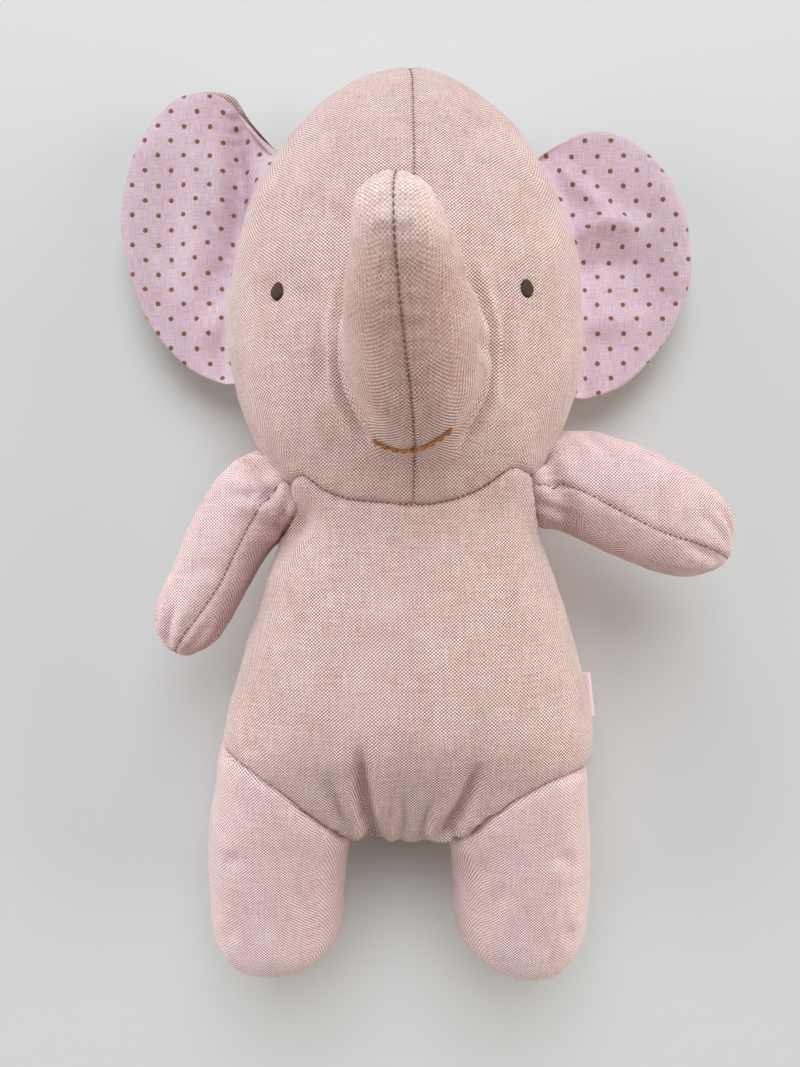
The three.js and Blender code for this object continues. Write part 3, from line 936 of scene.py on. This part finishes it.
for name, centre, radius, move in (  # in mm
    ("torso_skin", (-36, 19, 62), 15, (1, 4, 13)),  # the chest reaches up to the head at both shoulders
    ("torso_skin", (36, 19, 62), 15, (-1, 4, 13)),
    ("torso_skin", (-33, 3, 68), 6.5, (2, 0, -7)),  # armpits
    ("torso_skin", (-37, -4, 62), 7, (3, 0, -5)),
    ("torso_skin", (41, -6, 56), 9, (-2, 0, -3)),
    ("torso_skin", (1.5, -104, 58), 11, (0, -3.5, 1)),  # the belly bulges between the legs
    ("arm_right_skin", (-37, 6, 66), 6, (3, -1, 3)),
    ("leg_right_skin", (-61, -160, 36), 6, (-1.5, -6, 0)),  # the leg ends are gathered unevenly
    ("leg_right_skin", (-45, -167, 36), 12, (0.5, 6, 0)),
    ("leg_right_skin", (-71, -150, 36), 7, (1.5, 0, 0)),
    ("leg_left_skin", (50, -166, 36), 6, (0, -2, 0.5)),
    ("leg_left_skin", (63, -156, 36), 6, (2, -2.5, 0)),
    ("leg_left_skin", (36, -164, 34), 10, (1, 3.5, 0)),
):
    bump(skins[name], np.array(centre) * MM, radius * MM, np.array(move) * MM)
fill_crease(torso_skin, head_skin, meeting(head_skin), 12 * MM, 0.5)
for name in LIMBS:
    reach, share = (12 * MM, 0.6) if name.startswith("leg") else (7 * MM, 0.3)
    fill_crease(torso_skin, skins[name], meeting(skins[name]), reach, share)
for obj in skins.values():
    subdivided(obj, 2)

for seed, (name, obj) in enumerate(skins.items()):
    points, out = coords(obj), normals(obj)
    size = 0.9 * lumps(points, 27 * MM, seed) + 0.4 * lumps(points, 11 * MM, seed + 20)
    set_coords(obj, points + out * (size * MM)[:, None])

# ---- Seams ----
neck_lines = meeting(head_skin)
limb_lines = {name: meeting(skins[name]) for name in LIMBS}
head_tree, torso_tree = bvh_of(head_skin), bvh_of(torso_skin)


def beyond(tree, gap=-0.2 * MM):
    """A test that a point is further outside a skin than the gap."""
    return lambda p: signed_distance(tree, [p])[0] > gap


visible_seams = {}
for name, obj in skins.items():
    shown = beyond(head_tree if name == "torso_skin" else torso_tree)
    lines = long_ones(zero_lines(obj, seam_value(name, coords(obj))))
    visible_seams[name] = [kept(line, shown) for line in lines]

for seed, (name, obj) in enumerate(skins.items()):
    sew(obj, visible_seams[name], seed=seed)
sew(torso_skin, neck_lines + sum(limb_lines.values(), []), seed=11)
sew(head_skin, neck_lines, seed=12)
for seed, (name, lines) in enumerate(limb_lines.items()):
    sew(skins[name], lines, seed=13 + seed)

# ---- Folds where the stuffing pulls the cloth ----
face = PIVOT["trunk_bend"]
eye_spots = {side: box_of(f"eye_{side}")[0] for side in ("left", "right")}
folds = {name: [] for name in skins}


def face_fold(depth, width, *route):
    """A crease of the face, its route in mm from the trunk's root."""
    folds["head_and_trunk_skin"].append(([face + np.array(p) * MM for p in route], depth * MM, width * MM))


face_fold(3.6, 1.9, (-20, 24, 6), (-20, 10, 5), (-20, -4, 4), (-18, -15, 3), (-13, -24, 2))
face_fold(4.0, 2.1, (17, 30, 6), (21, 16, 5), (23.5, 2, 4), (22, -12, 3), (15, -24, 2))
face_fold(1.8, 2.4, (31, 14, 4), (33, 2, 4), (30, -9, 4))
face_fold(1.7, 2.4, (-28, 14, 4), (-30, 3, 4), (-28, -8, 4))
face_fold(1.7, 2.6, (9, 3, 22), (15, 1, 15), (21, 2, 8))
face_fold(1.5, 2.6, (-7, 10, 30), (-13, 9, 22), (-18, 12, 10))
face_fold(1.3, 2.2, (6, 14, 40), (11, 13, 32), (15, 15, 22))
for spot in eye_spots.values():
    inward = -np.sign(spot[0])
    for dx, dy, ex, ey in ((4, 2, 14, 8), (4, -2, 15, -5), (1, -4, 2, -13)):
        ends = [spot + np.array([inward * x, y, 0]) * MM for x, y in ((dx, dy), (ex, ey))]
        folds["head_and_trunk_skin"].append(([ends[0], sum(ends) / 2, ends[1]], 0.4 * MM, 2.6 * MM))
CROTCH_FOLDS = (
    (3.8, 2.6, (-10, -99, 44), (-12, -105, 60), (-13, -97, 78), (-14.5, -84, 88), (-14, -68, 92)),
    (3.4, 2.6, (14, -99, 44), (15, -105, 60), (17.5, -97, 78), (21, -87, 87), (24, -76, 91)),
    (1.0, 1.6, (0, -100, 48), (0.5, -106, 62), (0, -99, 78), (-1, -88, 86)),
    (0.8, 1.5, (-5, -101, 50), (-5.5, -106, 64), (-6, -99, 78), (-6.5, -92, 84)),
    (0.8, 1.5, (6, -101, 50), (6.5, -106, 64), (8, -99, 78), (9, -91, 85)),
    (1.2, 2.4, (-20, -98, 60), (-21, -96, 76), (-24, -82, 86)),
    (1.2, 2.4, (22, -98, 60), (24, -95, 76), (29, -84, 85)),
)  # depth, width and route, in mm
for deep, wide, *route in CROTCH_FOLDS:
    folds["torso_skin"].append(([np.array(p) * MM for p in route], deep * MM, wide * MM))
for side, limb in ((-1, "leg_right_skin"), (1, "leg_left_skin")):
    toe = SKINS[limb][0].point([1.0], [0.0])[0]
    for k in range(9):
        angle = math.pi * (k + 0.3) / 9
        way = np.array([math.cos(angle), 0, math.sin(angle)])
        steps = ((2, 0), (10, 2), (16 + 5 * (k % 2), 7))
        route = [toe + way * r * MM + np.array([0, d * MM, 0]) for r, d in steps]
        folds[limb].append((route, (1.1 + 0.5 * (k % 3)) * MM, 1.6 * MM))
    hip = PIVOT[limb.replace("_skin", "").replace("leg", "hip") + "_fold"]
    for x, y, z, dx, dy, deep in (
        (8, -20, 30, 12, -5, 0.9), (-10, -30, 28, -6, -14, 0.7), (12, -46, 20, 6, -10, 0.7),
    ):
        start = hip + np.array([side * x, y, z]) * MM
        end = start + np.array([side * dx, dy, -2]) * MM
        folds[limb].append(([start, (start + end) / 2, end], deep * MM, 2.6 * MM))
for limb in ("arm_left_skin", "arm_right_skin"):
    form = SKINS[limb][0]
    for t, angle, deep in (
        (0.97, 0.9, 1.0), (0.95, 1.9, 1.1), (0.96, 2.6, 0.9), (0.93, 1.3, 0.7), (0.96, 0.4, 0.8),
    ):
        route = [form.point([t - 0.09 * k], [angle])[0] for k in range(3)]
        folds[limb].append((route, deep * MM, 1.7 * MM))
    for t, first, last, deep in (
        (0.2, 0.5, 2.4, 1.6), (0.29, 1.7, 2.9, 1.2), (0.33, 0.2, 1.2, 1.0), (0.6, 1.2, 2.2, 0.7),
    ):
        route = [form.point([t + 0.02 * k], [a])[0] for k, a in enumerate(np.linspace(first, last, 5))]
        folds[limb].append((route, deep * MM, 2.6 * MM))
for limb, deep, wide, *route in (
    ("arm_right_skin", 1.6, 1.8, (-44, 17, 66), (-50, 21, 62), (-56, 22, 56)),
    ("arm_right_skin", 1.2, 1.8, (-44, 11, 66), (-52, 11, 62), (-58, 8, 56)),
    ("arm_right_skin", 1.3, 1.6, (-39, 10, 68), (-41, 4, 66), (-42, -3, 62)),
    ("arm_left_skin", 1.8, 2.0, (40, 20, 68), (46, 22, 68), (54, 27, 64)),
    ("arm_left_skin", 1.0, 1.8, (44, 8, 66), (52, 5, 64), (60, 3, 60)),
):
    folds[limb].append(([np.array(p) * MM for p in route], deep * MM, wide * MM))
for name, obj in skins.items():
    press_folds(obj, folds[name])

# ---- Eyes and smile: embroidery; the eyes pull the cloth in ----
head_tree = bvh_of(head_skin)


def face_point(tree, x, y):
    """The point of a skin straight below the camera side at x, y."""
    spot, normal, _, _ = tree.ray_cast(Vector((x, y, 0.3)), Vector((0, 0, -1)))
    return spot, normal


points, out = coords(head_skin), normals(head_skin)
for spot in eye_spots.values():
    centre, _ = face_point(head_tree, spot[0], spot[1])
    points = dimple(points, out, centre, 5 * MM, 1.1 * MM)
set_coords(head_skin, points)
for obj in skins.values():
    settle(obj)
head_tree = bvh_of(head_skin)


def satin_eye(side):
    """An oval of satin stitch: parallel strands that bulge in the middle."""
    spot = eye_spots[side]
    half_width, half_height, count = 2.1 * MM, 2.9 * MM, 11
    parts = []
    for i in range(count):
        share = 2 * (i + 0.5) / count - 1
        reach = half_height * math.sqrt(1 - share * share)
        line = []
        for f in np.linspace(-1, 1, 7):
            centre, normal = face_point(head_tree, spot[0] + share * half_width, spot[1] + f * reach)
            line.append(np.array(centre + normal * (0.55 * MM * (1 - f * f) * (1 - 0.5 * share * share))))
        parts.append(strand(line, 0.27 * MM, 6))
    obj = finish_thread(joined(f"eye_{side}_satin_stitch", parts), BROWN)
    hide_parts(f"eye_{side}")
    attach(obj, "head")


for side in ("left", "right"):
    satin_eye(side)


def back_stitch(name, tree, route, count, radius, material):
    """A line of back stitches along plan points laid on a skin."""
    route = resampled(np.array(route), 0.3 * MM)
    parts = []
    ends = np.linspace(0, len(route) - 1, count + 1)
    for a, b in zip(ends[:-1], ends[1:]):
        line = []
        for f in np.linspace(0, 1, 6):
            p = route[int(round(a + (b - a) * f))]
            centre, normal = face_point(tree, p[0], p[1])
            line.append(np.array(centre + normal * (radius * (0.2 + 0.9 * math.sin(math.pi * f)))))
        parts.append(strand(line, radius, 7))
    return finish_thread(joined(name, parts), material)


def smile():
    centre, half = box_of("mouth_stitch")
    left, right = centre[0] - half[0] + 1 * MM, centre[0] + half[0] - 1 * MM
    route = []
    for f in np.linspace(0, 1, 30):
        x = left + (right - left) * f
        sag = 4.6 * MM * (1 - (2 * f - 1) ** 2)
        route.append((x, centre[1] + 4.8 * MM - sag + 2.4 * MM * (f - 0.5), 0))
    obj = back_stitch("smile_back_stitch", head_tree, route, 9, 0.62 * MM, RUST)
    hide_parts("mouth_stitch")
    return obj


smile_thread = smile()

# ---- Seam threads ----
threads = {}
for name, obj in skins.items():
    lines = visible_seams[name]
    if name != "torso_skin":
        clear = beyond(head_tree, 2.5 * MM) if name.startswith("arm") else beyond(torso_tree, 1.5 * MM)
        lines = [kept(line, clear) for line in lines]
    threads[name] = stitches(name.replace("skin", "seam_thread"), obj, lines, SEWING)
neck_thread = stitches(
    "neck_seam_thread", torso_skin, [kept(line, lambda p: p[2] > 20 * MM) for line in neck_lines], SEWING
)
limb_threads = {}
for name, lines in limb_lines.items():
    colour = PALE if "leg" in name else SEWING
    limb_threads[name] = stitches(name.replace("skin", "joining_thread"), torso_skin, lines, colour)


# ---- Ears ----
EAR_ROOT_HEIGHT = 33 * MM
EAR_DROP = 18 * MM  # from the root to the outer rim
EAR_RIM = {
    "left": [(-34, -53), (-20, -52), (-6, -46), (9, -30), (18, -10), (19.5, 8), (15, 27), (5, 43), (-8, 52),
             (-21, 54), (-33, 49), (-45, 40)],
    "right": [(34, -59), (20, -56), (6, -48), (-8, -30), (-16, -6), (-17.5, 14), (-12, 36), (-2, 51),
              (9, 58.5), (24, 57), (32, 46), (44, 32)],
}  # from the lower to the upper end of the root, in mm
EAR_FOLDS = {
    "left": [((-28, 12), (-16, 20), (-2, 17), 4.6, 4), ((-30, -2), (-12, 5), (3, 1), -3.6, 6),
             ((-34, 40), (-22, 30), (-14, 22), 2.6, 4), ((-26, -20), (-12, -24), (2, -20), 2.2, 6)],
    "right": [((26, 54), (31, 20), (27, -10), -6.5, 5), ((12, 30), (16, 0), (12, -30), 3.4, 8),
              ((30, -20), (20, -34), (14, -40), 2.4, 5), ((20, 46), (24, 20), (21, -6), 2.2, 4)],
}  # where each fold runs, how much it rises and how wide it is, in mm


def ear_height(side, x, y, fall):
    """How far the ear's folds lift it at a place, in mm."""
    total = 1.1 * noise.noise(Vector((x, y, fall)) / 24)
    for a, b, c, rise, width in EAR_FOLDS[side]:
        t = np.linspace(0, 1, 16)[:, None]
        line = (1 - t) ** 2 * np.array(a) + 2 * t * (1 - t) * np.array(b) + t * t * np.array(c)
        gaps = np.linalg.norm(line - np.array([x, y]), axis=1)
        k = int(np.argmin(gaps))
        total += rise * math.exp(-((gaps[k] / width) ** 2)) * math.sin(math.pi * (k + 1) / 17) ** 0.5
    return total


def ear_sheet(side, layer):
    """One layer of an ear. layer is 1 for the dotted front and -1 for the linen back."""
    sign = 1 if side == "left" else -1
    centre, half = box_of(f"ear_{side}_front", f"ear_{side}_back")
    origin = np.array([centre[0] + sign * (half[0] - 19.5 * MM), centre[1]])
    rows, columns = 40, 96
    outline = np.array(EAR_RIM[side], float) * MM + origin
    rim = through(outline, np.linspace(0, 1, columns + 1))
    shown = np.zeros(columns + 1)
    if (side, layer) == ("right", -1):  # its linen back shows past the front, beside the head
        shown = np.clip((np.linspace(0, 1, columns + 1) - 0.74) / 0.08, 0, 1) * 2.6 * MM
    low, high = rim[0, 1] + 1 * MM, rim[-1, 1] - 1 * MM
    pts, thick = [], []
    for j in range(columns + 1):
        v = j / columns
        root_y = low + (high - low) * v
        hit = head_tree.ray_cast(Vector((sign * 0.3, root_y, EAR_ROOT_HEIGHT)), Vector((-sign, 0, 0)))
        root_x = hit[0].x - sign * 2.5 * MM
        for i in range(rows + 1):
            u = (i / rows) ** 0.9
            x = root_x + (rim[j, 0] - root_x) * u
            y = root_y + (rim[j, 1] - root_y) * u
            out = sign * (x - root_x)
            fall = min(1, max(0, out / (17 * MM)))
            x += 0.75 * shown[j] * u**4
            y += 0.65 * shown[j] * u**4
            z = EAR_ROOT_HEIGHT - EAR_DROP * (fall * fall * (3 - 2 * fall))
            z += 9 * MM * max(0, u - 0.45) ** 2
            z += ear_height(side, (x - origin[0]) / MM, (y - origin[1]) / MM, sign) * MM
            pts.append((x, y, z))
            near = min(1, min(1 - u, min(v, 1 - v) * 5) * 26 * MM / (3.2 * MM))
            thick.append(1.25 * MM * math.sqrt(1 - (1 - near) ** 2))
    base, count = np.array(pts), len(pts)
    top = base + np.array([0, 0, 1.0]) * (layer * (np.array(thick) + 0.12 * MM))[:, None]
    under = base + np.array([0, 0, 1.0]) * (layer * 0.1 * MM)
    grid = np.arange(count).reshape(columns + 1, rows + 1)
    faces = []
    for j in range(columns):
        for i in range(rows):
            quad = (grid[j, i], grid[j, i + 1], grid[j + 1, i + 1], grid[j + 1, i])
            faces += [quad, tuple(q + count for q in quad[::-1])]
    border = np.concatenate([grid[0, :], grid[1:, -1], grid[-1, -2::-1], grid[-2:0:-1, 0]])
    for a, b in zip(border, np.roll(border, -1)):
        faces.append((a, b, b + count, a + count)[::-1])
    if layer < 0:
        faces = [f[::-1] for f in faces]
    cloth = "front_cotton" if layer > 0 else "back_linen"
    obj = new_object(f"ear_{side}_{cloth}", np.vstack([top, under]), faces)
    lines = base.reshape(columns + 1, rows + 1, 3)[:, ::-1]
    steps = np.linalg.norm(np.diff(lines, axis=1), axis=2)
    reach = np.concatenate([np.zeros((columns + 1, 1)), np.cumsum(steps, axis=1)], axis=1)[:, ::-1]
    way = lines[:, -1, :2] - lines[:, 0, :2]
    way /= np.maximum(np.linalg.norm(way, axis=1), 1 * MM)[:, None]
    flat = np.zeros((columns + 1, rows + 1, 3))
    flat[..., :2] = lines[:, :1, :2] + way[:, None] * reach[..., None]
    mark(obj, "flat", np.vstack([flat.reshape(-1, 3)] * 2))
    # marks the rim's seam for painted shade along it
    rim_seam_shade = 0.6 * np.exp(-(((1 - (np.arange(count) % (rows + 1)) / rows) / 0.02) ** 2))
    mark(obj, "seam", np.concatenate([rim_seam_shade, rim_seam_shade]))
    finish_skin(obj, COTTON if layer > 0 else LINEN)
    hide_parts(f"ear_{side}_{'front' if layer > 0 else 'back'}")
    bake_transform(obj)


for side in ("left", "right"):
    for layer in (1, -1):
        ear_sheet(side, layer)


# ---- Side tag and neck tack ----
def side_tag():
    """A blank ribbon folded over into a loop and caught in the side seam."""
    centre, half = box_of("side_tag")
    long, wide, gap, thick = 16 * MM, 5.8 * MM, 1.0 * MM, 0.35 * MM
    upper = [(-2.5 * MM, 0.25 * gap), (0.25 * wide, 0.35 * gap), (0.6 * wide, 0.8 * gap),
             (0.84 * wide, gap)]
    profile = [*upper, (wide, 0), *((x, -z) for x, z in upper[::-1])]
    line = through(np.array(profile), np.linspace(0, 1, 34))
    steps = 20
    rows = []
    for k in range(steps + 1):
        f = k / steps - 0.5
        for x, z in line:
            bend = 0.5 * MM * math.sin(3 * f) * (x / wide)
            rows.append((centre[0] - half[0] + x - 0.5 * MM - f * 1.9 * MM, centre[1] + f * long,
                         centre[2] + z + bend))
    count = len(line)
    faces = [(k * count + i, k * count + i + 1, (k + 1) * count + i + 1, (k + 1) * count + i)
             for k in range(steps) for i in range(count - 1)]
    obj = new_object("side_tag_ribbon", rows, faces)
    solid = obj.modifiers.new("Thick", "SOLIDIFY")
    solid.thickness, solid.offset = thick, 0
    bake(obj)
    finish_skin(obj, RIBBON)
    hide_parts("side_tag")
    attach(obj, "torso")


side_tag()


def neck_tack():
    """Three hand stitches that close the neck seam."""
    tree = bvh_of(torso_skin)
    front = min((p for line in neck_lines for p in line if p[2] > 50 * MM), key=lambda p: abs(p[0]))
    parts = []
    for x, tilt in ((-2.2, 0.5), (-0.4, -0.4), (1.6, 0.6)):
        ends = [front + np.array([x + f * 1.1 * tilt, f * 1.3, 0]) * MM for f in (-1, 0, 1)]
        line = [on_surface(tree, p, h * MM) for p, h in zip(ends, (0.1, 0.55, 0.1))]
        parts.append(strand(line, 0.24 * MM, 6))
    obj = finish_thread(joined("neck_tack_hand_stitches", parts), PEACH)
    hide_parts("neck_tack_stitch")
    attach(obj, "torso")


neck_tack()

# ---- The skins' cloth and hidden frame panels; the smile and the torso's pieces follow their bodies ----
for name, obj in skins.items():
    # the arms and legs wear the copy of the linen that is painted lighter
    finish_skin(obj, LIMB_LINEN_PAINTED_LIGHTER if name in LIMBS else LINEN)

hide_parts("head_left_panel", "head_right_panel", "head_stuffing",
            "trunk_left_panel", "trunk_right_panel", "trunk_stuffing")
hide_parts("torso_front_panel", "torso_back_left_panel", "torso_back_right_panel",
            "torso_stuffing")
for obj in (head_skin, threads["head_and_trunk_skin"]):
    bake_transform(obj)
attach(smile_thread, "head")
for obj in (torso_skin, threads["torso_skin"], neck_thread, *limb_threads.values()):
    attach(obj, "torso")
for limb, *panels in (
    ("arm_left", "upper", "lower"), ("arm_right", "upper", "lower"),
    ("leg_left", "front", "back"), ("leg_right", "front", "back"),
):
    skin = f"{limb}_skin"
    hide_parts(*(f"{limb}_{panel}_panel" for panel in panels), f"{limb}_stuffing")
    for obj in (skins[skin], threads[skin]):
        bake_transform(obj)
